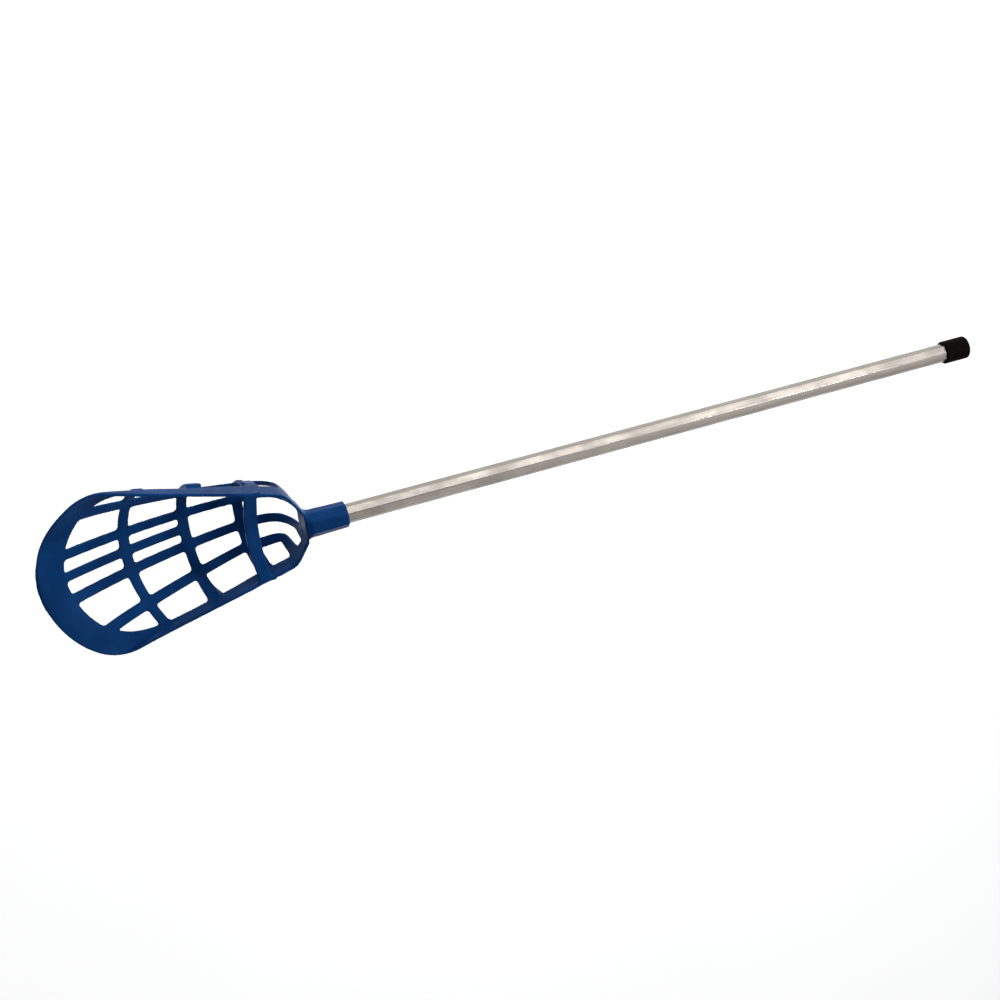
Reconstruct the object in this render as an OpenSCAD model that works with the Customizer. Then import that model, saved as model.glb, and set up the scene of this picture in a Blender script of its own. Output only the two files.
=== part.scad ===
// Soft lacrosse stick: one-piece moulded head with a lattice pocket on an octagonal tube.
// +X runs from the butt to the head, +Z is the open side of the pocket.
// The origin is the centre of the flat end of the butt cap.

/* [Shaft] */
// Width of the octagonal tube across its flats
shaft_flats = 18; // [17:0.5:19]
// Tube wall thickness
shaft_wall = 1.2; // [1:0.1:1.6]

/* [Butt cap] */
// Outer diameter of the rubber cap
cap_d = 24; // [23:0.5:26]
// Length of the cap
cap_len = 28; // [24:1:34]
// Thickness of rubber under the end of the tube
cap_floor = 4; // [3:0.5:6]
// Roundover of the closed end
cap_round = 2; // [1:0.5:2.5]

/* [Socket] */
// Distance from the butt to the mouth of the socket
socket_mouth_x = 696; // [680:1:705]
// Length of the octagonal part of the socket
socket_len = 36; // [32:1:37]
// Socket width across its flats at the mouth
socket_flats = 24; // [23:0.5:25]
// Extra width across flats where the socket meets the basket
socket_taper = 2; // [1:0.5:3]
// Length of tube inside the socket
socket_depth = 34; // [28:1:35]

/* [Basket] */
// Distance from the butt to the tip of the lip
tip_x = 995.5; // [990:0.5:1005]
// Radius of the round lip seen from the open side
lip_r = 92; // [88:1:94]
// Radius of the two front corners
corner_r = 46; // [40:1:60]
// Half width over the basket wall 145 mm behind the tip
side_half = 66.1; // [63:0.1:67]
// Sideways growth of the wall for each millimetre towards the lip
side_flare = 0.2655; // [0.24:0.005:0.29]
// Depth of the deepest part of the pocket below the shaft axis
pocket_depth = 67.5; // [60:0.5:70]
// Distance from the butt to the deepest part of the pocket
deep_x = 775; // [772:1:780]
// Thickness of the moulded wall
wall_t = 3; // [2.6:0.1:3.4]
// Height of the upright band along the rim
band_h = 10; // [8:0.5:11]

/* [Lattice] */
// Width of each cross rib
rib_w = 10.5; // [9:0.5:12]
// Width of the strip down the middle of the front openings
centre_w = 9.4; // [8:0.2:11]
// Corner rounding of the openings
opening_r = 3; // [2:0.5:4]
// Width of the bridge bar across the throat
bar_w = 13; // [10:0.5:13]
// Thickness of the bridge bar
bar_t = 4; // [3.5:0.5:5]
// How far the bridge bar bows towards the lip
bar_bow = 5; // [3:0.5:6]

/* [Screw] */
// Shank diameter of the self-tapping screw
screw_d = 3.5; // [3:0.1:3.9]
// Distance of the screw from the socket mouth
screw_inset = 15; // [12:1:18]

/* [Hidden] */
eps = 0.01;
gap = 0.15;
bore_flats = shaft_flats + 2 * gap;
shaft_start = cap_floor + gap;
shaft_end = socket_mouth_x + socket_depth;
neck_x = socket_mouth_x + socket_len;
screw_x = socket_mouth_x + screw_inset;
screw_head_d = 2 * screw_d;
screw_head_h = 0.6 * screw_d;
screw_len = 9.5;

// plan outline of the basket
lip_c = tip_x - lip_r;
side_x = tip_x - 145;
shoulder_x = neck_x + 6.5;
shoulder_half = 16.2;
shoulder_slope = 1.66;
shoulder_blend = 2.6;
neck_half = 14;
neck_drop = 15;
neck_front = 9;
line_gap = (side_half + side_flare * (lip_c - side_x)) / sqrt(1 + pow(side_flare, 2));
side_n = [-side_flare, 1] / sqrt(1 + pow(side_flare, 2));
side_t = [side_n[1], -side_n[0]];
corner_c = [lip_c, 0] + side_n * (line_gap - corner_r)
    + side_t * sqrt(pow(lip_r - corner_r, 2) - pow(line_gap - corner_r, 2));
corner_in = corner_c[0] + side_n[0] * corner_r;
corner_dir = (corner_c - [lip_c, 0]) / norm(corner_c - [lip_c, 0]);
corner_out = lip_c + corner_dir[0] * lip_r;

// pocket profile along the middle
back_x = neck_x + 6.5;
back_z = -13;
back_p = 2.4;
rise = 0.0049;
rise_p = 1.73;
rim_x0 = 850;
rim_z0 = 0.9;
rim_slope = 0.047;
flat_x = tip_x - 91;
lip_drop = 0.0062;
lip_drop_x = tip_x - 45.5;
neck_rise = 0.006;
neck_rise_x = neck_x + 33;

// lattice seen from the open side: rib edges, strip edges and the inner edge of the lip
rib1 = tip_x - 84.5;
rib2 = rib1 - 61.2;
rib3 = rib2 - 56.4;
lip_in_c = tip_x - 110.9;
lip_in_r = 83.1;
edge_z = -14.7;
edge_fall = 0.019;
edge_lift = 0.12;
rib_spread = 0.003;
wrap = 75;
cut_t = 8;
bar_x = rib3 - 9;
bar_sag = 3;
bar_cut = 1;
screw_seat = socket_flats / 2 + 0.6;
back_w = deep_x - wrap;

function side_line(x) = side_half + side_flare * (x - side_x);
function shoulder_line(x) = shoulder_half + shoulder_slope * (x - shoulder_x);
function soft_min(a, b, e) = (a + b) / 2 - sqrt(pow((a - b) / 2, 2) + e * e);
function smooth(t) = let (c = min(1, max(0, t))) c * c * (3 - 2 * c);
function blend(a, b, t) = a + (b - a) * t;

// half width of the basket and height of its rim
function half_w(x) =
    x > corner_out ? sqrt(max(0, lip_r * lip_r - pow(x - lip_c, 2)))
    : x > corner_in ? corner_c[1] + sqrt(corner_r * corner_r - pow(x - corner_c[0], 2))
    : soft_min(side_line(x), shoulder_line(x), shoulder_blend);
function rim_z(x) = rim_z0 - rim_slope * (min(x, flat_x) - rim_x0)
    - lip_drop * pow(max(0, x - lip_drop_x), 2) + neck_rise * pow(max(0, neck_rise_x - x), 2);
function band(x) = 0.4 + (band_h - 0.4) * smooth((tip_x - 40 - x) / 90);
function fullness(x) = 1 + 1.9 * pow(min(1, max(0, (tip_x - 41 - x) / 160)), 1.45);
function mid_half(x) = half_w(x) - wall_t / 2 * band(x) / band_h;

// w runs along the floor from the lip and up the back wall; these give x and z on the middle line
function turn(w) = 90 * (deep_x - w) / wrap;
function path_x(w) = w > deep_x ? w : deep_x - (deep_x - back_x) * pow(sin(turn(w)), 2 / back_p);
function path_z(w) = w > deep_x ? -pocket_depth + rise * pow(w - deep_x, rise_p)
    : back_z - (pocket_depth + back_z) * pow(cos(turn(w)), 2 / back_p);

// middle of the wall at w and sideways share s (-1 rim, 0 middle, 1 rim)
function mid(w, s) = let (x = path_x(w), z0 = rim_z(x) - band(x))
    [x, s * mid_half(x), z0 - max(0, z0 - path_z(w)) * pow(max(0, 1 - s * s), 1 / fullness(x))];
function unit(v) = v / norm(v);
function normal_at(w, s) = let (d = 0.2,
    w1 = min(tip_x - 0.05, w + d), w0 = max(back_w + eps, w - d),
    s1 = min(0.999, s + 0.004), s0 = max(-0.999, s - 0.004))
    unit(cross(mid(w1, s) - mid(w0, s), mid(w, s1) - mid(w, s0)));
function share(w, y) = min(0.996, max(-0.996, y / mid_half(path_x(w))));
function edge_y(w) = let (x = path_x(w), z0 = rim_z(x) - band(x),
    level = edge_z - edge_fall * max(0, x - deep_x) + edge_lift * max(0, deep_x - x),
    t = (z0 - level) / max(1, z0 - path_z(w)))
    mid_half(x) * sqrt(max(0, 1 - pow(max(0, min(1, t)), fullness(x))));

// strip edges
function line(y0, near, far, w) = y0 + (w - rib3) * (w < rib3 ? near : far);
function l2_in(w) = line(10.2, 0.03, 0.048, w);
function l2_out(w) = line(19, 0.04, 0.06, w);
function l1_in(w) = line(31.3, 0.13, 0.178, w);
function l1_out(w) = line(38.1, 0.17, 0.205, w);
// each rib leans back towards the shaft as it climbs the wall, the front one most, and widens
function lean(xc) = 0.14 + 0.56 * pow(max(0, xc - rib3) / 116, 2.3);
function climb(xc, y) = mid(xc, share(xc, y))[2] - path_z(xc);
function rib_at(xc, y) = xc - lean(xc) * climb(xc, y);
function rib_back(xc, y) = rib_at(xc, y) - rib_spread * pow(climb(xc, y), 2);
function lip_at(y) = lip_in_c + sqrt(lip_in_r * lip_in_r - y * y);

// solid between two matching grids of points, rows by columns
function grid_faces(r, c) = let (n = r * c) concat(
    [for (i = [0:r - 2], j = [0:c - 2]) [i * c + j, i * c + j + 1, (i + 1) * c + j + 1, (i + 1) * c + j]],
    [for (i = [0:r - 2], j = [0:c - 2])
        [n + i * c + j, n + (i + 1) * c + j, n + (i + 1) * c + j + 1, n + i * c + j + 1]],
    [for (j = [0:c - 2]) [j, n + j, n + j + 1, j + 1]],
    [for (j = [0:c - 2]) let (q = (r - 1) * c + j) [q, q + 1, n + q + 1, n + q]],
    [for (i = [0:r - 2]) let (q = i * c) [q, q + c, n + q + c, n + q]],
    [for (i = [0:r - 2]) let (q = i * c + c - 1) [q, n + q, n + q + c, q + c]]);
module slab(a, b) {
    r = len(a);
    c = len(a[0]);
    polyhedron([for (row = a, p = row) p, for (row = b, p = row) p], grid_faces(r, c), convexity = 8);
}

shell_w = [for (t = [0:1:9]) back_w + wrap * (1 - cos(t * 10)), for (x = [deep_x + 1:9:lip_c + 6]) x,
    for (a = [76:-6.5:4]) lip_c + lip_r * cos(a), tip_x - 0.05];
shell_s = [for (a = [-90:90 / 14:90.1]) sin(a)];

function rim_point(w, s, side) = mid(w, s) + [0, 0, band(path_x(w))] + side * wall_t / 2 * normal_at(w, s);
// side is 1 for the inside face and -1 for the outside face
function face(side) = [for (w = shell_w) concat([rim_point(w, -1, side)],
    [for (s = shell_s) mid(w, s) + side * wall_t / 2 * normal_at(w, s)], [rim_point(w, 1, side)])];
module basket_shell() {
    slab(face(1), face(-1));
}

// cutter for one opening, square to the wall; low and high bound it along w, left and right across
module opening(low, high, left, right, near, cols = 3, r = opening_r) {
    m = (left(near) + right(near)) / 2;
    run = high(m) - low(m);
    lead = r / run;
    steps = concat([0, lead * 0.12, lead * 0.45, lead], [for (t = [0.25:0.25:0.75]) t],
        [1 - lead, 1 - lead * 0.45, 1 - lead * 0.12, 1]);
    cells = [for (t = steps) [for (c = [0:1 / cols:1.001])
        let (wm = blend(low(m), high(m), t),
            span = norm(mid(wm, share(wm, right(wm))) - mid(wm, share(wm, left(wm)))),
            d = r - min(r, min(t, 1 - t) * run),
            inset = (r - sqrt(r * r - d * d)) / max(span, r * 2),
            k = blend(inset, 1 - inset, c),
            ya = blend(left(wm), right(wm), k),
            wa = blend(low(ya), high(ya), t),
            y = blend(left(wa), right(wa), k),
            w = blend(low(y), high(y), t))
        [w, share(w, y)]]];
    slab([for (row = cells) [for (p = row) mid(p[0], p[1]) + cut_t * normal_at(p[0], p[1])]],
        [for (row = cells) [for (p = row) mid(p[0], p[1]) - cut_t * normal_at(p[0], p[1])]]);
}

module side_openings() {
    r1 = function (y) rib_at(rib1, y);
    r1b = function (y) rib_back(rib1 - rib_w, y);
    r2 = function (y) rib_at(rib2, y);
    r2b = function (y) rib_back(rib2 - rib_w, y);
    r3 = function (y) rib_at(rib3, y);
    lip = function (y) lip_at(y);
    half_c = function (w) centre_w / 2;
    l2a = function (w) l2_in(w);
    l2b = function (w) l2_out(w);
    l1a = function (w) l1_in(w);
    l1b = function (w) l1_out(w);
    edge = function (w) max(edge_y(w), l1_out(w) + 0.3);
    front = rib1 + 20;
    second = rib1 - 40;
    third = rib2 - 35;
    opening(r1, lip, half_c, l2a, front);
    opening(r1, lip, l2b, l1a, front);
    opening(r1, lip, l1b, edge, front);
    opening(r2, r1b, half_c, l2a, second);
    opening(r2, r1b, l2b, l1a, second);
    opening(r2, r1b, l1b, edge, second);
    opening(r3, r2b, l2b, l1a, third);
    opening(r3, r2b, l1b, edge, third);
    fan = function (w) l1_in(w) + 0.8 + 2.7 * smooth((deep_x - 31 - w) / 8);
    l1c = function (w) l1_out(w) + 1.2;
    back_low = function (y) back_w + 22.5 + 2.4 * max(0, y - 21.7);
    back_high = function (y) rib3 - rib_w;
    cheek_low = function (y) deep_x - 22 - 0.75 * (y - 32);
    cheek_high = function (y) rib3 - 17 - 0.3 * (y - 36);
    opening(back_low, back_high, l2b, fan, deep_x - 30, r = opening_r / 2);
    opening(cheek_low, cheek_high, l1c, edge, deep_x - 15);
}
module middle_openings() {
    right = function (w) l2_in(w);
    left = function (w) -l2_in(w);
    opening(function (y) rib_at(rib3, y), function (y) rib_back(rib2 - rib_w, y), left, right, rib3, 4);
    opening(function (y) back_w + 4.5, function (y) rib3 - rib_w, left, right, rib3, 4, opening_r / 2);
}

module octagon(x0, x1, f0, f1) {
    translate([x0, 0, 0]) rotate([0, 90, 0]) rotate(22.5)
        cylinder(h = x1 - x0, d1 = f0 / cos(22.5), d2 = f1 / cos(22.5), $fn = 8);
}

module bridge() {
    pts = [for (t = [-1:0.2:1.01]) let (b = 1 - t * t, x = bar_x + bar_bow * b)
        [x, t * half_w(x), rim_z(x) - bar_t - bar_sag * b]];
    for (i = [0:len(pts) - 2]) hull() for (p = [pts[i], pts[i + 1]])
        translate([p[0] - bar_w / 2, p[1] - bar_cut / 2, p[2]]) cube([bar_w, bar_cut, bar_t]);
}

module head() color([0.05, 0.2, 0.42]) difference() {
    union() {
        difference() {
            basket_shell();
            side_openings();
            mirror([0, 1, 0]) side_openings();
            middle_openings();
        }
        bridge();
        octagon(socket_mouth_x, neck_x, socket_flats, socket_flats + socket_taper);
        hull() {
            octagon(neck_x - 1, neck_x, socket_flats + socket_taper - 0.1, socket_flats + socket_taper);
            translate([back_x - wall_t, -neck_half, -neck_drop])
                cube([wall_t, neck_half * 2, neck_drop + neck_front]);
        }
    }
    octagon(socket_mouth_x - 1, socket_mouth_x + socket_depth + 1, bore_flats, bore_flats);
    translate([screw_x, 0, -socket_flats]) cylinder(h = socket_flats, d = screw_d + 2 * gap, $fn = 24);
}

module shaft() color([0.75, 0.73, 0.71]) difference() {
    octagon(shaft_start, shaft_end, shaft_flats, shaft_flats);
    octagon(shaft_start - 1, shaft_end + 1, shaft_flats - 2 * shaft_wall, shaft_flats - 2 * shaft_wall);
    translate([screw_x, 0, -shaft_flats]) cylinder(h = shaft_flats, d = screw_d + 2 * gap, $fn = 24);
}

module end_cap() color([0.06, 0.05, 0.05]) difference() {
    rotate([0, 90, 0]) rotate_extrude($fn = 96) union() {
        square([cap_d / 2 - cap_round, cap_len]);
        translate([0, cap_round]) square([cap_d / 2, cap_len - cap_round]);
        translate([cap_d / 2 - cap_round, cap_round]) circle(cap_round, $fn = 24);
    }
    octagon(cap_floor, cap_len + 1, bore_flats, bore_flats);
}

module head_screw() color([0.7, 0.7, 0.72]) translate([screw_x, 0, -screw_seat]) {
    translate([0, 0, -screw_head_h]) cylinder(h = screw_head_h, d = screw_head_d, $fn = 48);
    cylinder(h = screw_len, d = screw_d, $fn = 24);
}

head();
shaft();
end_cap();
head_screw();
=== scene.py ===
import math

import bmesh
import bpy
import numpy as np
from mathutils import Euler, Matrix, Vector


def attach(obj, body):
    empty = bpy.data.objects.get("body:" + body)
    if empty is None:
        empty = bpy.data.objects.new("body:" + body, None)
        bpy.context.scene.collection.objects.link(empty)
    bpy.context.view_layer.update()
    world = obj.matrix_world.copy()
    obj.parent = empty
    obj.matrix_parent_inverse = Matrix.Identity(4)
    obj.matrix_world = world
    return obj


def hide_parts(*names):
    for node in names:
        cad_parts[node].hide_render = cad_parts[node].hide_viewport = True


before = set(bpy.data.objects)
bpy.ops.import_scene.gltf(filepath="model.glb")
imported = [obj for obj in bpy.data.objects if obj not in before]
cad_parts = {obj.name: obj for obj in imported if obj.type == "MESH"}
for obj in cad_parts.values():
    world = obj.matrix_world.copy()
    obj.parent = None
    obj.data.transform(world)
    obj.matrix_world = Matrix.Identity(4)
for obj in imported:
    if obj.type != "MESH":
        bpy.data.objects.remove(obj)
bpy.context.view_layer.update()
MM = 0.001

# ---------------------------------------------------------------- head: basket wall
# The head is one injection moulding in blue polypropylene, a 3 mm wall bent into a scoop with an
# upright band along its rim. w runs along the floor from the lip and then up the back wall, and
# s runs across from rim to rim; sizes here are millimetres, as on the mould drawing.
TIP_X, LIP_R, CORNER_R = 995.5, 92.0, 46.0
LIP_C = TIP_X - LIP_R
SIDE_HALF, SIDE_FLARE, SIDE_X = 66.1, 0.2655, 850.5
SHOULDER_HALF, SHOULDER_SLOPE, SHOULDER_BLEND = 16.2, 1.66, 6.76
BACK_X, BACK_Z, BACK_POWER = 738.5, -13.0, 2.4
DEEP_X, DEPTH, WRAP = 775.0, 67.5, 75.0
BACK_W = DEEP_X - WRAP
FLOOR_RISE, FLOOR_POWER = 0.0049, 1.73
RIM_X, RIM_Z, RIM_SLOPE, RIM_FLAT_X = 850.0, 0.9, 0.047, 904.5
LIP_DROP, LIP_DROP_X = 0.0062, TIP_X - 45.5
NECK_RISE, NECK_RISE_X = 0.006, 765.0
WALL, BAND_H, LIP_BAND_H = 3.0, 10.0, 0.4
BAND_END_X, BAND_RUN = TIP_X - 40, 90.0
SQUARE_X, SQUARE_RUN, SQUARE_MORE, SQUARE_POWER = TIP_X - 41, 160.0, 1.9, 1.45


def smooth_step(t):
    t = np.clip(t, 0, 1)
    return t * t * (3 - 2 * t)


def half_width(x):
    """Half the plan width of the basket at x: shoulders, straight sides, corners and round lip."""
    lean = math.sqrt(1 + SIDE_FLARE**2)
    reach = (SIDE_HALF + SIDE_FLARE * (LIP_C - SIDE_X)) / lean - CORNER_R
    out, along = np.array([-SIDE_FLARE, 1]) / lean, np.array([1, SIDE_FLARE]) / lean
    step = math.sqrt((LIP_R - CORNER_R) ** 2 - reach**2)
    corner = np.array([LIP_C, 0]) + out * reach + along * step
    corner_in = corner[0] + out[0] * CORNER_R
    corner_out = LIP_C + (corner[0] - LIP_C) / math.hypot(corner[0] - LIP_C, corner[1]) * LIP_R
    side = SIDE_HALF + SIDE_FLARE * (x - SIDE_X)
    shoulder = SHOULDER_HALF + SHOULDER_SLOPE * (x - BACK_X)
    straight = (side + shoulder) / 2 - np.sqrt(((side - shoulder) / 2) ** 2 + SHOULDER_BLEND)
    bend = corner[1] + np.sqrt(np.maximum(0, CORNER_R**2 - (x - corner[0]) ** 2))
    lip = np.sqrt(np.maximum(0, LIP_R**2 - (x - LIP_C) ** 2))
    return np.where(x > corner_out, lip, np.where(x > corner_in, bend, straight))


def rim_height(x):
    """The rim slopes gently, turns down at the lip and climbs towards the socket."""
    slope = RIM_Z - RIM_SLOPE * (np.minimum(x, RIM_FLAT_X) - RIM_X)
    lip = LIP_DROP * np.maximum(0, x - LIP_DROP_X) ** 2
    return slope - lip + NECK_RISE * np.maximum(0, NECK_RISE_X - x) ** 2


def band_height(x):
    """Height of the upright band under the rim, which runs out into the lip."""
    return LIP_BAND_H + (BAND_H - LIP_BAND_H) * smooth_step((BAND_END_X - x) / BAND_RUN)


def floor_line(w):
    """x and z of the wall's middle line at w."""
    turn = np.pi / 2 * np.clip((DEEP_X - w) / WRAP, 0, 1)
    x = np.where(w > DEEP_X, w, DEEP_X - (DEEP_X - BACK_X) * np.sin(turn) ** (2 / BACK_POWER))
    up = BACK_Z - (DEPTH + BACK_Z) * np.maximum(np.cos(turn), 0) ** (2 / BACK_POWER)
    rise = -DEPTH + FLOOR_RISE * np.maximum(0, w - DEEP_X) ** FLOOR_POWER
    return x, np.where(w > DEEP_X, rise, up)


def fullness(x):
    """How square the pocket is across: shallow and round at the lip, full at the throat."""
    return 1 + SQUARE_MORE * np.clip((SQUARE_X - x) / SQUARE_RUN, 0, 1) ** SQUARE_POWER


def mid_half(x):
    """Half width at x, out to the middle of the wall."""
    return half_width(x) - WALL / 2 * band_height(x) / BAND_H


def wall_middle(w, s):
    """Point in the middle of the wall's thickness at w and s."""
    w, s = np.broadcast_arrays(np.asarray(w, float), np.asarray(s, float))
    x, z = floor_line(w)
    top = rim_height(x) - band_height(x)
    deep = np.maximum(0, top - z)
    drop = deep * np.maximum(0, 1 - s * s) ** (1 / fullness(x))
    return np.stack([x, s * mid_half(x), top - drop], -1)


def wall_normal(w, s):
    """Unit normal of the wall, pointing into the pocket, from its slope over a short step."""
    dw, ds, s_end = 0.2, 0.004, 0.999
    w, s = np.broadcast_arrays(np.asarray(w, float), np.asarray(s, float))
    w1, w0 = np.minimum(TIP_X - 0.05, w + dw), np.maximum(BACK_W + 0.01, w - dw)
    s1, s0 = np.minimum(s_end, s + ds), np.maximum(-s_end, s - ds)
    n = np.cross(wall_middle(w1, s) - wall_middle(w0, s), wall_middle(w, s1) - wall_middle(w, s0))
    return n / np.linalg.norm(n, axis=-1, keepdims=True)


def share(w, y):
    """s for a distance y from the middle plane."""
    return np.clip(y / mid_half(floor_line(w)[0]), -0.996, 0.996)


def between(inner, outer):
    """Closed solid between two matching grids of points."""
    r, c = inner.shape[:2]
    n = r * c
    at = np.arange(n).reshape(r, c)

    def quads(a, b, d, e):
        return np.stack([a.ravel(), b.ravel(), d.ravel(), e.ravel()], 1)

    a, b, d, e = at[:-1, :-1], at[:-1, 1:], at[1:, 1:], at[1:, :-1]
    faces = [
        quads(a, b, d, e), quads(a + n, e + n, d + n, b + n),
        quads(at[0, :-1], at[0, :-1] + n, at[0, 1:] + n, at[0, 1:]),
        quads(at[-1, :-1], at[-1, 1:], at[-1, 1:] + n, at[-1, :-1] + n),
        quads(at[:-1, 0], at[1:, 0], at[1:, 0] + n, at[:-1, 0] + n),
        quads(at[:-1, -1], at[:-1, -1] + n, at[1:, -1] + n, at[1:, -1]),
    ]
    return np.concatenate([inner.reshape(-1, 3), outer.reshape(-1, 3)]), np.concatenate(faces)


def solid(name, parts):
    """One mesh object from (points in mm, faces) pairs, with its faces turned outwards."""
    points, faces, base = [], [], 0
    for p, f in parts:
        points.append(np.asarray(p))
        faces += [[int(i) + base for i in face] for face in f]
        base += len(p)
    mesh = bpy.data.meshes.new(name)
    mesh.from_pydata((np.concatenate(points) * MM).tolist(), [], faces)
    tool = bmesh.new()
    tool.from_mesh(mesh)
    bmesh.ops.remove_doubles(tool, verts=tool.verts, dist=1e-7)
    bmesh.ops.recalc_face_normals(tool, faces=tool.faces)
    tool.to_mesh(mesh)
    tool.free()
    made = bpy.data.objects.new(name, mesh)
    bpy.context.scene.collection.objects.link(made)
    return made


def bake(obj):
    """Applies every modifier of obj to its mesh."""
    graph = bpy.context.evaluated_depsgraph_get()
    obj.data = bpy.data.meshes.new_from_object(obj.evaluated_get(graph), depsgraph=graph)
    obj.modifiers.clear()
    return obj


def cut_away(obj, tool, solver):
    """Cuts the tool's shape out of obj and removes the tool."""
    cut = obj.modifiers.new("cut", "BOOLEAN")
    cut.operation, cut.solver, cut.object = "DIFFERENCE", solver, tool
    bake(obj)
    bpy.data.objects.remove(tool)


rows = np.concatenate([
    BACK_W + WRAP * (1 - np.cos(np.linspace(0, np.pi / 2, 46))),
    np.arange(DEEP_X + 1.5, LIP_C + 18, 1.5),
    LIP_C + LIP_R * np.cos(np.radians(np.arange(78, 2, -1.6))), [TIP_X - 0.05],
])[:, None]
across = np.sin(np.radians(np.linspace(-90, 90, 97)))[None, :]


def wall_face(side):
    """Points of the inside face (side 1) or the outside face (side -1), rim band included."""
    n = wall_normal(rows, across) * side * WALL / 2
    body = wall_middle(rows, across) + n
    lift = np.stack([0 * rows, 0 * rows, band_height(floor_line(rows)[0])], -1)
    return np.concatenate([body[:, :1] + lift, body, body[:, -1:] + lift], 1)


head = solid("head_moulding", [between(wall_face(1), wall_face(-1))])

# ---------------------------------------------------------------- head: lattice openings
# Steel pins in the mould leave a lattice of rounded openings: three cross ribs and five strips
# in front of the throat, and a fan of openings round the back of the pocket. The openings next to
# the rim slant, so that they end higher on the outside of the wall than on the inside.
RIB_W, CENTRE_W, CUT = 10.5, 9.4, 8.0
RIB_1 = TIP_X - 84.5
RIB_2 = RIB_1 - 61.2
RIB_3 = RIB_2 - 56.4
RIB_LEAN, FRONT_LEAN, LEAN_RUN, LEAN_POWER, RIB_SPREAD = 0.14, 0.56, 116.0, 2.3, 0.003
EDGE_Z, EDGE_FALL, EDGE_LIFT, SLANT_RUN = -14.7, 0.019, 0.12, 120.0
SLANT_IN, SLANT_OUT, SLANT_REACH = -1.5, 7.5, 2.2
LIP_EDGE_X, LIP_EDGE_R = TIP_X - 110.9, 83.1
CORNER, SMALL_CORNER, STRIP_GAP = 3.0, 1.5, 0.3


def strip(at_rib, near, far):
    """Edge of a strip: its distance from the middle plane at the third rib and its two slopes."""
    return lambda w: at_rib + (w - RIB_3) * np.where(w < RIB_3, near, far)


def rib_edge(xc, widen):
    """The edge of a rib, leaning back towards the shaft as it climbs the wall."""
    lean = RIB_LEAN + FRONT_LEAN * (max(0, xc - RIB_3) / LEAN_RUN) ** LEAN_POWER
    z = floor_line(np.array(xc))[1]

    def edge(y):
        h = wall_middle(xc, share(xc, y))[..., 2] - z
        return xc - lean * h - widen * h * h
    return edge


def band_edge(w, lift):
    """Half width of the wall where it meets the underside of the rim band, raised by lift."""
    x, z = floor_line(w)
    top = rim_height(x) - band_height(x)
    edge_z = EDGE_Z - EDGE_FALL * np.maximum(0, x - DEEP_X) + EDGE_LIFT * np.maximum(0, DEEP_X - x)
    edge_z = edge_z + lift * np.clip(1 - (x - DEEP_X) / SLANT_RUN, 0, 1)
    level = np.clip((top - edge_z) / np.maximum(1, top - z), 0, 1)
    return mid_half(x) * np.sqrt(np.maximum(0, 1 - level ** fullness(x)))


def opening_face(low, high, left, right, near, radius):
    """Points over one opening with rounded corners, and the wall's normals there."""
    m = (left(near) + right(near)) / 2
    run = float(high(m) - low(m))
    lead = radius / run
    quarter = lead * (1 - np.cos(np.linspace(0, np.pi / 2, 8)))
    t = np.concatenate([quarter, np.linspace(lead, 1 - lead, 14)[1:-1], 1 - quarter[::-1]])[:, None]
    c = np.linspace(0, 1, 9)[None, :]
    at = low(m) + (high(m) - low(m)) * t
    left_side, right_side = wall_middle(at, share(at, left(at))), wall_middle(at, share(at, right(at)))
    span = np.linalg.norm(right_side - left_side, axis=-1)
    d = radius - np.minimum(radius, np.minimum(t, 1 - t) * run)
    inset = (radius - np.sqrt(radius**2 - d * d)) / np.maximum(span, radius * 2)
    k = inset + (1 - 2 * inset) * c
    y = left(at) + (right(at) - left(at)) * k
    for _ in range(3):
        w = low(y) + (high(y) - low(y)) * t
        y = left(w) + (right(w) - left(w)) * k
    s = share(w, y)
    return wall_middle(w, s), wall_normal(w, s)


def opening(low, high, left, right, near, radius=CORNER):
    """Cutter square to the wall, bounded by low and high along w and by left and right across."""
    face, n = opening_face(low, high, left, right, near, radius)
    return between(face + n * CUT, face - n * CUT)


def rim_opening(low, high, left, near):
    """Cutter for an opening next to the rim, with its slanted edge there."""
    inside, n = opening_face(low, high, left, rim_side, near, CORNER)
    outside, m = opening_face(low, high, left, rim_side_outside, near, CORNER)
    return between(inside + n * SLANT_REACH, outside - m * SLANT_REACH)


centre = lambda w: CENTRE_W / 2 + 0 * w
inner_in, inner_out = strip(10.2, 0.03, 0.048), strip(19, 0.04, 0.06)
outer_in, outer_out = strip(31.3, 0.13, 0.178), strip(38.1, 0.17, 0.205)
inner_in_far = lambda w: -inner_in(w)
rim_side = lambda w: np.maximum(band_edge(w, SLANT_IN), outer_out(w) + STRIP_GAP)
rim_side_outside = lambda w: np.maximum(band_edge(w, SLANT_OUT), outer_out(w) + STRIP_GAP)
lip_edge = lambda y: LIP_EDGE_X + np.sqrt(LIP_EDGE_R**2 - y * y)
rib_1, rib_1_back = rib_edge(RIB_1, 0), rib_edge(RIB_1 - RIB_W, RIB_SPREAD)
rib_2, rib_2_back = rib_edge(RIB_2, 0), rib_edge(RIB_2 - RIB_W, RIB_SPREAD)
rib_3, rib_3_back = rib_edge(RIB_3, 0), lambda y: RIB_3 - RIB_W + 0 * y

cutters = []
for low, high, near in ((rib_1, lip_edge, RIB_1 + 20), (rib_2, rib_1_back, RIB_1 - 40)):
    cutters.append(opening(low, high, centre, inner_in, near))
    cutters.append(opening(low, high, inner_out, outer_in, near))
    cutters.append(rim_opening(low, high, outer_out, near))
cutters.append(opening(rib_3, rib_2_back, inner_out, outer_in, RIB_2 - 35))
cutters.append(rim_opening(rib_3, rib_2_back, outer_out, RIB_2 - 35))

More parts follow.
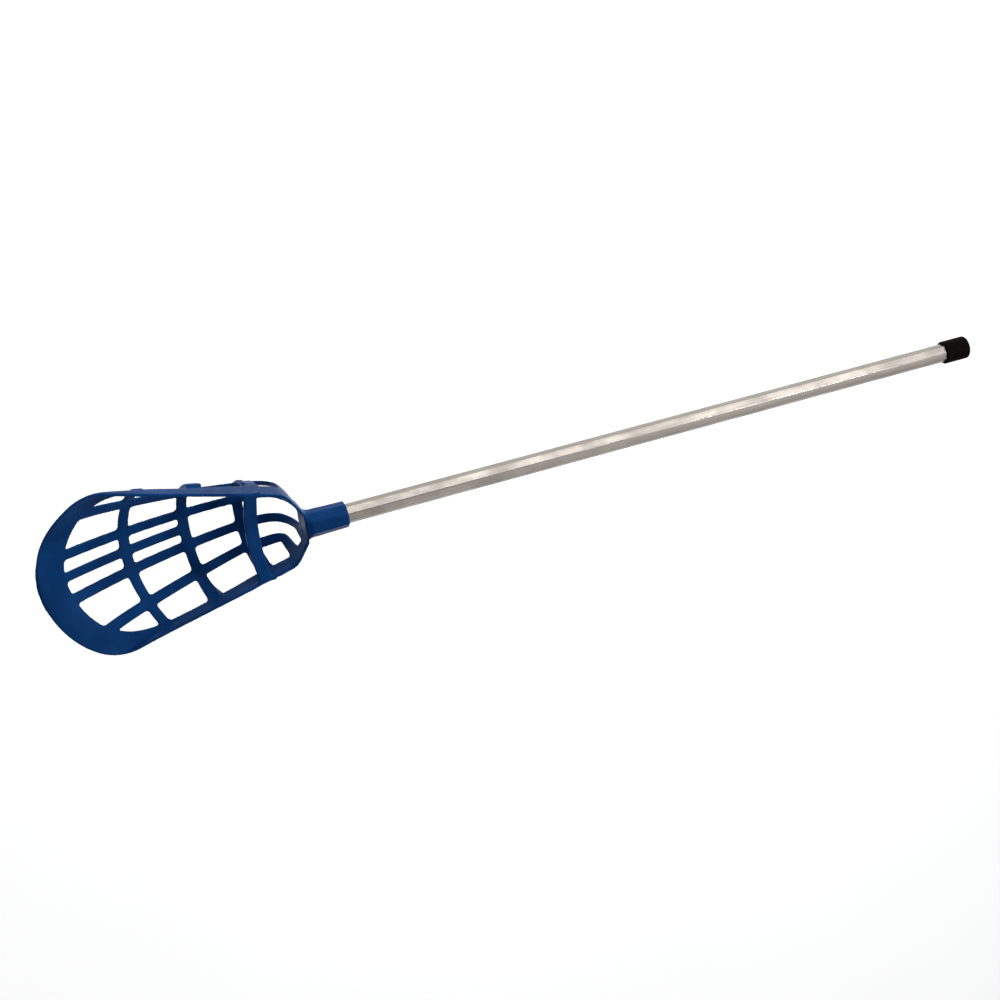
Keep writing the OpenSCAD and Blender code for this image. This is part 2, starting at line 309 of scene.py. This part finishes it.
# the fan behind the third rib: an opening each side of the back, and one in each cheek
FAN_OUT, FAN_TURN, FAN_TURN_X, FAN_TURN_RUN = 0.8, 2.7, DEEP_X - 31, 8.0
fan = lambda w: outer_in(w) + FAN_OUT + FAN_TURN * smooth_step((FAN_TURN_X - w) / FAN_TURN_RUN)
fan_low = lambda y: BACK_W + 22.5 + 2.4 * np.maximum(0, y - 21.7)
cheek_low = lambda y: DEEP_X - 22 - 0.75 * (y - 32)
cheek_high = lambda y: RIB_3 - 17 - 0.3 * (y - 36)
cheek_in = lambda w: outer_out(w) + 1.2
back_low = lambda y: BACK_W + 4.5 + 0 * y
cutters.append(opening(fan_low, rib_3_back, inner_out, fan, DEEP_X - 30, SMALL_CORNER))
cutters.append(rim_opening(cheek_low, cheek_high, cheek_in, DEEP_X - 15))
cutters += [(p * [1, -1, 1], f[:, ::-1]) for p, f in cutters]
cutters.append(opening(rib_3, rib_2_back, inner_in_far, inner_in, RIB_3))
cutters.append(opening(back_low, rib_3_back, inner_in_far, inner_in, RIB_3, SMALL_CORNER))
cut_away(head, solid("mould_pins", cutters), "MANIFOLD")

# ---------------------------------------------------------------- head: raised ribs, bridge bar and socket
# The three cross ribs stand a little proud outside the wall, with knobs under the rim. A bridge
# bar ties the two rims over the throat, and an octagonal socket takes the tube; all of it is the
# same shot of plastic.
STRAP, STRAP_EDGE, STRAP_END = 1.0, 1.2, 82.0
KNOB_FROM, KNOB_RUN = 0.9, 0.08
extras = []
for front, back, knob in ((rib_1, rib_1_back, 0.0), (rib_2, rib_2_back, 1.3), (rib_3, rib_3_back, 0.6)):
    s = np.sin(np.radians(np.linspace(-STRAP_END, STRAP_END, 90)))[None, :]
    y = s * mid_half(floor_line(front(s * mid_half(front(0 * s))))[0])
    t = np.linspace(0, 1, 6)[:, None]
    w = back(y) + STRAP_EDGE + (front(y) - back(y) - 2 * STRAP_EDGE) * t
    n = wall_normal(w, s)
    middle = wall_middle(w, s)
    proud = STRAP + knob * np.clip((np.abs(s) - KNOB_FROM) / KNOB_RUN, 0, 1)
    extras.append(between(middle, middle - n * (WALL / 2 + proud[..., None])))

BAR_X, BAR_BOW, BAR_SAG, BAR_W, BAR_T = RIB_3 - 9, 5.0, 3.0, 13.0, 4.0
BAR_INSET, BAR_DROP, BAR_FLARE, FLARE_FROM = 0.6, 0.2, 4.0, 0.86
t = np.linspace(-1, 1, 61)
bow = 1 - t * t
x = BAR_X + BAR_BOW * bow
y = t * (half_width(x) - BAR_INSET)
top = rim_height(x) - BAR_DROP - BAR_SAG * bow
flare = np.clip((np.abs(t) - FLARE_FROM) / (1 - FLARE_FROM), 0, 1) ** 2
half = (BAR_W / 2 + BAR_FLARE * flare)[:, None]
profile = np.linspace(-1, 1, 9)[None, :]
upper = np.stack([x[:, None] + half * profile, y[:, None] + 0 * profile, top[:, None] + 0 * profile], -1)
extras.append(between(upper, upper - [0, 0, BAR_T]))

SOCKET_X, NECK_X, SOCKET_F, NECK_F = 696.0, 732.0, 24.3, 26.0
TUBE_F, SOCKET_DEPTH, BORE_GAP = 18.0, 34.0, 0.15
SCREW_X, SCREW_HOLE_R = 711.0, 1.9


def octagon_ring(x, flats):
    a = np.radians(22.5 + 45 * np.arange(8))
    r = flats / 2 / math.cos(math.pi / 8)
    return np.stack([np.full(8, float(x)), r * np.cos(a), r * np.sin(a)], 1)


def octagon_radius(a, half_flats):
    """Radius at angle a of an octagon with a flat on top."""
    return half_flats / np.cos((a + np.pi / 8) % (np.pi / 4) - np.pi / 8)


def loft(rings):
    """Closed solid through rings of equal count, capped at both ends."""
    n = len(rings[0])
    faces = [list(range(n)), list(range(len(rings) * n - n, len(rings) * n))[::-1]]
    for k in range(len(rings) - 1):
        a, b = k * n, (k + 1) * n
        faces += [[a + i, b + i, b + (i + 1) % n, a + (i + 1) % n] for i in range(n)]
    return np.concatenate(rings), faces


extras.append(loft([octagon_ring(SOCKET_X, SOCKET_F - 0.8), octagon_ring(SOCKET_X + 0.5, SOCKET_F),
                    octagon_ring(NECK_X, NECK_F), octagon_ring(NECK_X + 2, NECK_F + 0.1)]))

# the neck runs from the socket's octagon to a rounded box at the back of the basket
NECK_LEN, NECK_WIDE, NECK_HIGH, NECK_DROP, NECK_POWER = 8.5, 13.1, 13.0, 2.0, 3.4
collar = []
for u in np.linspace(0, 1, 9):
    a = np.radians(22.5 + 7.5 * np.arange(48))
    wide, high = NECK_WIDE + 3.0 * u**2, NECK_HIGH - 0.7 * u**2
    box = np.abs(np.cos(a) / wide) ** NECK_POWER + np.abs(np.sin(a) / high) ** NECK_POWER
    r = octagon_radius(a, NECK_F / 2) * (1 - u) ** 2 + box ** (-1 / NECK_POWER) * (1 - (1 - u) ** 2)
    ring_x = np.full(48, NECK_X - 1 + NECK_LEN * u)
    collar.append(np.stack([ring_x, r * np.cos(a), r * np.sin(a) - NECK_DROP * u], 1))
extras.append(loft(collar))

joined = solid("head_parts", extras)
merge = bmesh.new()
merge.from_mesh(head.data)
merge.from_mesh(joined.data)
merge.to_mesh(head.data)
merge.free()
bpy.data.objects.remove(joined)

# everything is fused into one skin; the neck and the ends of the bar get the mould's large fillets
VOXEL, KEEP = 0.75 * MM, 0.42
fuse = head.modifiers.new("fuse", "REMESH")
fuse.mode, fuse.voxel_size, fuse.use_smooth_shade = "VOXEL", VOXEL, True
bake(head)
at = np.empty(len(head.data.vertices) * 3)
head.data.vertices.foreach_get("co", at)
x, y, z = at.reshape(-1, 3).T / MM


def around(value, centre, run):
    return np.clip(1 - np.abs(value - centre) / run, 0, 1)


def beyond(value, start, run):
    return np.clip((value - start) / run, 0, 1)


neck = around(x, 738, 12) * beyond(x, 726, 6)
bar_end = around(x, BAR_X, 16) * beyond(np.abs(y), 33, 8) * (z > -12)
fillets = head.vertex_groups.new(name="fillets")
for level in (0.33, 0.66, 1.0):
    where = np.nonzero(np.maximum(neck, bar_end) * 1.4 > level)[0]
    fillets.add(where.tolist(), level, "REPLACE")
melt = head.modifiers.new("melt", "SMOOTH")
melt.vertex_group, melt.factor, melt.iterations = "fillets", 0.5, 30
ease = head.modifiers.new("ease", "SMOOTH")
ease.factor, ease.iterations = 0.5, 4
thin = head.modifiers.new("thin", "DECIMATE")
thin.ratio = KEEP
bake(head)
head.vertex_groups.clear()

a = np.radians(15 * np.arange(24))
hole = [np.stack([SCREW_X + SCREW_HOLE_R * np.cos(a), SCREW_HOLE_R * np.sin(a), np.full(24, z)], 1)
        for z in (-24.0, 0.0)]
bore_f = TUBE_F + 2 * BORE_GAP
bore = loft([octagon_ring(SOCKET_X - 4, bore_f), octagon_ring(SOCKET_X + SOCKET_DEPTH, bore_f)])
cut_away(head, solid("bore", [bore, loft(hole)]), "MANIFOLD")
head.data.shade_smooth()
head.data.set_sharp_from_angle(angle=math.radians(42))


def material(name):
    """A new material with its nodes, shader and Object coordinates."""
    made = bpy.data.materials.new(name)
    made.use_nodes = True
    nodes, links = made.node_tree.nodes, made.node_tree.links
    shader = nodes["Principled BSDF"]
    place = nodes.new("ShaderNodeTexCoord").outputs["Object"]
    return made, nodes, links, shader, place


def stretched(nodes, links, place, scale):
    mapping = nodes.new("ShaderNodeMapping")
    mapping.inputs["Scale"].default_value = scale
    links.new(place, mapping.inputs["Vector"])
    return mapping.outputs["Vector"]


def noise(nodes, links, place, scale, detail=3.0, rough=0.5):
    made = nodes.new("ShaderNodeTexNoise")
    made.inputs["Scale"].default_value = scale
    made.inputs["Detail"].default_value = detail
    made.inputs["Roughness"].default_value = rough
    links.new(place, made.inputs["Vector"])
    return made.outputs["Fac"]


def ramp(nodes, links, value, low, high, from_colour, to_colour):
    made = nodes.new("ShaderNodeValToRGB")
    made.color_ramp.elements[0].position, made.color_ramp.elements[1].position = low, high
    made.color_ramp.elements[0].color, made.color_ramp.elements[1].color = from_colour, to_colour
    links.new(value, made.inputs["Fac"])
    return made.outputs["Color"]


def spread(nodes, links, value, low, high, to_low, to_high):
    made = nodes.new("ShaderNodeMapRange")
    for name, v in (("From Min", low), ("From Max", high), ("To Min", to_low), ("To Max", to_high)):
        made.inputs[name].default_value = v
    links.new(value, made.inputs["Value"])
    return made.outputs["Result"]


def bump(nodes, links, height, strength, distance, under=None):
    made = nodes.new("ShaderNodeBump")
    made.inputs["Strength"].default_value = strength
    made.inputs["Distance"].default_value = distance
    links.new(height, made.inputs["Height"])
    if under is not None:
        links.new(under, made.inputs["Normal"])
    return made.outputs["Normal"]


blue, nodes, links, shader, place = material("blue_polypropylene")
cloud = noise(nodes, links, place, 22, 4)
links.new(ramp(nodes, links, cloud, 0.35, 0.68, (0.0032, 0.036, 0.144, 1), (0.0058, 0.060, 0.220, 1)),
          shader.inputs["Base Color"])
grain = noise(nodes, links, place, 60, 5, 0.6)
links.new(spread(nodes, links, grain, 0.3, 0.7, 0.28, 0.4), shader.inputs["Roughness"])
peel = bump(nodes, links, noise(nodes, links, place, 900, 2), 0.12, 0.0002)
sink = bump(nodes, links, noise(nodes, links, place, 45, 2), 0.25, 0.0006, peel)
links.new(sink, shader.inputs["Normal"])
shader.inputs["Specular IOR Level"].default_value = 0.05
shader.inputs["Specular Tint"].default_value = (0.4, 0.6, 1.0, 1)
head.data.materials.clear()
head.data.materials.append(blue)
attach(head, "root")
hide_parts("head")

# ---------------------------------------------------------------- shaft
# A drawn octagonal aluminium tube, 18 mm across its flats with a 1.2 mm wall and small corner
# radii, satin from the draw bench. The tree fills the ring between two filleted octagons and
# pulls it along the tube's length.
TUBE_START, TUBE_END, TUBE_WALL, TUBE_CORNER = 4.15, SOCKET_X + SOCKET_DEPTH, 1.2, 0.9


def wire(tree, kind, **inputs):
    """A node of that kind with its named inputs set or linked."""
    made = tree.nodes.new(kind)
    for name, value in inputs.items():
        socket = made.inputs[name.replace("_", " ")]
        if isinstance(value, bpy.types.NodeSocket):
            tree.links.new(value, socket)
        else:
            socket.default_value = value
    return made


def new_tree(name, inputs):
    tree = bpy.data.node_groups.new(name, "GeometryNodeTree")
    tree.interface.new_socket("Geometry", in_out="INPUT", socket_type="NodeSocketGeometry")
    tree.interface.new_socket("Geometry", in_out="OUTPUT", socket_type="NodeSocketGeometry")
    ids = {}
    for label, kind in inputs:
        ids[label] = tree.interface.new_socket(label, in_out="INPUT", socket_type=kind).identifier
    return tree, tree.nodes.new("NodeGroupInput"), tree.nodes.new("NodeGroupOutput"), ids


def run_tree(name, tree, ids, values):
    """Runs the tree on an empty mesh and returns the plain mesh object it makes."""
    made = bpy.data.objects.new(name, bpy.data.meshes.new(name))
    bpy.context.scene.collection.objects.link(made)
    modifier = made.modifiers.new("tree", "NODES")
    modifier.node_group = tree
    for label, value in values.items():
        modifier[ids[label]] = value
    bake(made)
    made.data.name = name
    return made


satin, nodes, links, shader, place = material("satin_aluminium")
streaks = noise(nodes, links, stretched(nodes, links, place, (3, 700, 700)), 1.0, 3)
blotch = noise(nodes, links, stretched(nodes, links, place, (34, 60, 60)), 1.0, 4, 0.6)
links.new(ramp(nodes, links, streaks, 0.3, 0.7, (0.29, 0.262, 0.235, 1), (0.365, 0.33, 0.298, 1)),
          shader.inputs["Base Color"])
links.new(spread(nodes, links, blotch, 0.35, 0.65, 0.25, 0.42), shader.inputs["Roughness"])
shader.inputs["Metallic"].default_value = 1.0
drawn = bump(nodes, links, streaks, 0.2, 0.0001)
links.new(bump(nodes, links, blotch, 0.15, 0.0012, drawn), shader.inputs["Normal"])

tree, given, result, ids = new_tree("drawn_tube", [
    ("Across Flats", "NodeSocketFloat"), ("Wall", "NodeSocketFloat"), ("Corner Radius", "NodeSocketFloat"),
    ("Start", "NodeSocketFloat"), ("Length", "NodeSocketFloat"), ("Material", "NodeSocketMaterial")])


def math_node(operation, a, b):
    made = tree.nodes.new("ShaderNodeMath")
    made.operation = operation
    for socket, value in zip(made.inputs, (a, b)):
        if isinstance(value, bpy.types.NodeSocket):
            tree.links.new(value, socket)
        else:
            socket.default_value = value
    return made.outputs[0]


def filleted_octagon(flats, radius):
    ring = wire(tree, "GeometryNodeCurvePrimitiveCircle", Resolution=8,
                Radius=math_node("DIVIDE", flats, 2 * math.cos(math.pi / 8)))
    turned = wire(tree, "GeometryNodeTransform", Geometry=ring.outputs["Curve"],
                  Rotation=(0.0, 0.0, math.radians(22.5)))
    upright = wire(tree, "GeometryNodeTransform", Geometry=turned.outputs[0])
    fillet = wire(tree, "GeometryNodeFilletCurve", Curve=upright.outputs[0], Radius=radius)
    fillet.mode = "POLY"
    fillet.inputs["Count"].default_value = 4
    return fillet.outputs[0]


outer = filleted_octagon(given.outputs["Across Flats"], given.outputs["Corner Radius"])
twice_wall = math_node("MULTIPLY", given.outputs["Wall"], 2.0)
inner_flats = math_node("SUBTRACT", given.outputs["Across Flats"], twice_wall)
inner_radius = math_node("MULTIPLY", given.outputs["Corner Radius"], 0.5)
inner = filleted_octagon(inner_flats, inner_radius)
both = tree.nodes.new("GeometryNodeJoinGeometry")
for curve in (outer, inner):
    tree.links.new(curve, both.inputs[0])
ring = wire(tree, "GeometryNodeFillCurve", Curve=both.outputs[0])
lift = tree.nodes.new("ShaderNodeCombineXYZ")
tree.links.new(given.outputs["Length"], lift.inputs["Z"])
pulled = wire(tree, "GeometryNodeExtrudeMesh", Mesh=ring.outputs[0], Offset=lift.outputs[0],
              Individual=False)
pulled.inputs["Offset Scale"].default_value = 1.0
flipped = wire(tree, "GeometryNodeFlipFaces", Mesh=ring.outputs[0])
closed = tree.nodes.new("GeometryNodeJoinGeometry")
tree.links.new(pulled.outputs[0], closed.inputs[0])
tree.links.new(flipped.outputs[0], closed.inputs[0])
welded = wire(tree, "GeometryNodeMergeByDistance", Geometry=closed.outputs[0], Distance=1e-6)
shift = tree.nodes.new("ShaderNodeCombineXYZ")
tree.links.new(given.outputs["Start"], shift.inputs["X"])
laid = wire(tree, "GeometryNodeTransform", Geometry=welded.outputs[0], Translation=shift.outputs[0],
            Rotation=(0.0, math.radians(90), 0.0))
real = wire(tree, "GeometryNodeRealizeInstances", Geometry=laid.outputs[0])
clad = wire(tree, "GeometryNodeSetMaterial", Geometry=real.outputs[0], Material=given.outputs["Material"])
tree.links.new(clad.outputs[0], result.inputs[0])
shaft = run_tree("shaft_tube", tree, ids, {
    "Across Flats": TUBE_F * MM, "Wall": TUBE_WALL * MM, "Corner Radius": TUBE_CORNER * MM,
    "Start": TUBE_START * MM, "Length": (TUBE_END - TUBE_START) * MM, "Material": satin})
shaft.data.shade_smooth()
shaft.data.set_sharp_from_angle(angle=math.radians(40))
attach(shaft, "root")
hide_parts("shaft")

# ---------------------------------------------------------------- butt cap
# A black rubber cap pushed over the butt end: round outside with a soft closed end, and an
# octagonal bore with a slightly rounded mouth that grips the tube.
CAP_R, CAP_LEN, CAP_FLOOR, CAP_ROUND, CAP_LIP = 12.0, 28.0, 4.0, 2.6, 0.8
turns = np.radians(5 * np.arange(72))
bore_r = octagon_radius(turns, TUBE_F / 2 + BORE_GAP)
end_r = CAP_R - CAP_ROUND
cap_rings = [(0.0, r) for r in (0.5, 4.0, 8.0, end_r)]
for a in np.radians(np.arange(15, 91, 15)):
    cap_rings.append((CAP_ROUND * (1 - math.cos(a)), end_r + CAP_ROUND * math.sin(a)))
cap_rings += [(x, CAP_R) for x in np.linspace(5, CAP_LEN - 2 * CAP_LIP, 7)]
for a in np.radians(np.arange(0, 91, 18)):
    cap_rings.append((CAP_LEN - CAP_LIP + CAP_LIP * math.sin(a), CAP_R - CAP_LIP + CAP_LIP * math.cos(a)))
loops = [np.stack([np.full(72, x), r * np.cos(turns), r * np.sin(turns)], 1) for x, r in cap_rings]
for x, grow in ((CAP_LEN, 0.5), (CAP_LEN - 0.15, 0.15), (CAP_LEN - 0.5, 0.0), (CAP_FLOOR, 0.0)):
    r = bore_r + grow
    loops.append(np.stack([np.full(72, x), r * np.cos(turns), r * np.sin(turns)], 1))
cap = solid("butt_cap", [loft(loops)])
cap.data.shade_smooth()
cap.data.set_sharp_from_angle(angle=math.radians(50))
rubber, nodes, links, shader, place = material("black_rubber")
dust = noise(nodes, links, place, 140, 4)
links.new(ramp(nodes, links, dust, 0.35, 0.7, (0.0022, 0.0009, 0.0009, 1), (0.0052, 0.0022, 0.002, 1)),
          shader.inputs["Base Color"])
scuffs = noise(nodes, links, place, 300, 4)
links.new(spread(nodes, links, scuffs, 0.3, 0.7, 0.6, 0.8), shader.inputs["Roughness"])
links.new(bump(nodes, links, noise(nodes, links, place, 2500, 2), 0.25, 0.0002), shader.inputs["Normal"])
shader.inputs["Specular IOR Level"].default_value = 0.04
cap.data.materials.append(rubber)
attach(cap, "root")
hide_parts("end_cap")

# ---------------------------------------------------------------- head screw
# A zinc plated self-tapping screw through the underside of the socket and the tube, with a pan
# head and a cross recess. The tree winds its thread as a helix round the core.
SCREW_SEAT, SCREW_LEN = -12.6, 9.5
ring_turns = np.radians(7.5 * np.arange(48))


def screw_ring(z, r):
    return np.stack([SCREW_X + r * np.cos(ring_turns), r * np.sin(ring_turns), np.full(48, z)], 1)


pan = [(SCREW_SEAT - 2.1, 0.6), (SCREW_SEAT - 2.05, 1.5), (SCREW_SEAT - 1.85, 2.4), (SCREW_SEAT - 1.5, 3.0),
       (SCREW_SEAT - 1.0, 3.38), (SCREW_SEAT - 0.5, 3.5), (SCREW_SEAT - 0.1, 3.5), (SCREW_SEAT, 3.4),
       (SCREW_SEAT, 1.35), (SCREW_SEAT + SCREW_LEN - 2.5, 1.3), (SCREW_SEAT + SCREW_LEN, 0.15)]
screw = solid("head_screw_body", [loft([screw_ring(z, r) for z, r in pan])])
for turn in (0, 1):
    arm = []
    for z, half_l, half_w in ((SCREW_SEAT - 3.0, 1.9, 0.42), (SCREW_SEAT - 0.9, 1.0, 0.28)):
        box = np.array([[-half_l, -half_w], [half_l, -half_w], [half_l, half_w], [-half_l, half_w]])
        if turn:
            box = np.stack([-box[:, 1], box[:, 0]], 1)
        arm.append(np.column_stack([SCREW_X + box[:, 0], box[:, 1], np.full(4, z)]))
    cut_away(screw, solid(f"recess_{turn}", [loft(arm)]), "EXACT")
zinc, nodes, links, shader, place = material("zinc_plate")
flakes = noise(nodes, links, place, 900, 4)
links.new(ramp(nodes, links, flakes, 0.3, 0.7, (0.42, 0.43, 0.45, 1), (0.6, 0.61, 0.62, 1)),
          shader.inputs["Base Color"])
haze = noise(nodes, links, place, 1500, 3)
links.new(spread(nodes, links, haze, 0.3, 0.7, 0.25, 0.42), shader.inputs["Roughness"])
links.new(bump(nodes, links, noise(nodes, links, place, 4000, 2), 0.15, 0.0001), shader.inputs["Normal"])
shader.inputs["Metallic"].default_value = 1.0
screw.data.materials.clear()
screw.data.materials.append(zinc)
screw.data.shade_smooth()
screw.data.set_sharp_from_angle(angle=math.radians(35))
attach(screw, "root")
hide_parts("head_screw")

tree, given, result, ids = new_tree("screw_thread", [
    ("Radius", "NodeSocketFloat"), ("Pitch", "NodeSocketFloat"), ("Turns", "NodeSocketFloat"),
    ("Foot", "NodeSocketVector"), ("Material", "NodeSocketMaterial")])
helix = wire(tree, "GeometryNodeCurveSpiral", Resolution=24, Rotations=given.outputs["Turns"],
             Start_Radius=given.outputs["Radius"], End_Radius=given.outputs["Radius"],
             Height=math_node("MULTIPLY", given.outputs["Turns"], given.outputs["Pitch"]))
wedge = wire(tree, "GeometryNodeCurvePrimitiveCircle", Resolution=3,
             Radius=math_node("MULTIPLY", given.outputs["Pitch"], 0.32))
swept = wire(tree, "GeometryNodeCurveToMesh", Curve=helix.outputs[0], Profile_Curve=wedge.outputs[0],
             Fill_Caps=True)
seated = wire(tree, "GeometryNodeTransform", Geometry=swept.outputs[0], Translation=given.outputs["Foot"])
real = wire(tree, "GeometryNodeRealizeInstances", Geometry=seated.outputs[0])
clad = wire(tree, "GeometryNodeSetMaterial", Geometry=real.outputs[0], Material=given.outputs["Material"])
tree.links.new(clad.outputs[0], result.inputs[0])
thread = run_tree("head_screw_thread", tree, ids, {
    "Radius": 1.4 * MM, "Pitch": 1.2 * MM, "Turns": 5.5,
    "Foot": (SCREW_X * MM, 0.0, (SCREW_SEAT + 0.4) * MM), "Material": zinc})
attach(thread, "root")

# ---------------------------------------------------------------- floor, light and camera
# A plain pale floor well below the stick, a wide soft lamp on one side, a dimmer one high on the
# other, and a small one over the butt end that puts the sheen on the lip. The camera looks down
# from above the tip of the head.
floor = bpy.data.objects.new("studio_floor", bpy.data.meshes.new("studio_floor"))
bpy.context.scene.collection.objects.link(floor)
FLOOR_Z, FLOOR_HALF = -0.45, 14.0
corners = [(0.5 + FLOOR_HALF * i, FLOOR_HALF * j, FLOOR_Z)
           for i, j in ((-1, -1), (1, -1), (1, 1), (-1, 1))]
floor.data.from_pydata(corners, [], [(0, 1, 2, 3)])
pale, nodes, links, shader, place = material("pale_floor")
shade = noise(nodes, links, place, 3, 2)
links.new(ramp(nodes, links, shade, 0.3, 0.7, (0.9, 0.9, 0.9, 1), (0.93, 0.93, 0.93, 1)),
          shader.inputs["Base Color"])
shader.inputs["Roughness"].default_value = 0.9
shader.inputs["Emission Color"].default_value = (1, 1, 1, 1)
shader.inputs["Emission Strength"].default_value = 0.62
floor.data.materials.append(pale)

world = bpy.data.worlds.new("studio")
bpy.context.scene.world = world
world.use_nodes = True
world.node_tree.nodes["Background"].inputs["Color"].default_value = (0.93, 0.95, 1.0, 1)
world.node_tree.nodes["Background"].inputs["Strength"].default_value = 0.15


def lamp(name, place, aim, size, watts, colour=(1, 1, 1)):
    data = bpy.data.lights.new(name, "AREA")
    data.shape, data.size, data.size_y = "RECTANGLE", size[0], size[1]
    data.energy, data.color = watts, colour
    made = bpy.data.objects.new(name, data)
    made.location = place
    back = Vector(place) - Vector(aim)
    made.rotation_euler = back.to_track_quat("Z", "Y").to_euler()
    bpy.context.scene.collection.objects.link(made)


lamp("key_lamp", (-0.4, -2.15, 1.1), (0.4, 0, 0), (2.6, 1.0), 28)
lamp("fill_lamp", (-0.45, 1.2, 2.3), (0.4, 0, 0), (2.4, 1.3), 10)
lamp("rim_lamp", (-0.15, -0.1, 0.78), (0.93, 0.04, -0.01), (0.2, 0.2), 6)

camera = bpy.data.objects.new("camera", bpy.data.cameras.new("camera"))
camera.data.sensor_width, camera.data.lens = 36.0, 68.81
camera.data.clip_start, camera.data.clip_end = 0.05, 60
camera_turn = Euler([math.radians(angle) for angle in (-24.64, -20.641, 173.128)])
camera.matrix_world = Matrix.LocRotScale(Vector((1.05185, -0.83502, 1.627)), camera_turn, None)
bpy.context.scene.collection.objects.link(camera)
bpy.context.scene.camera = camera
bpy.context.scene.view_settings.view_transform = "Standard"
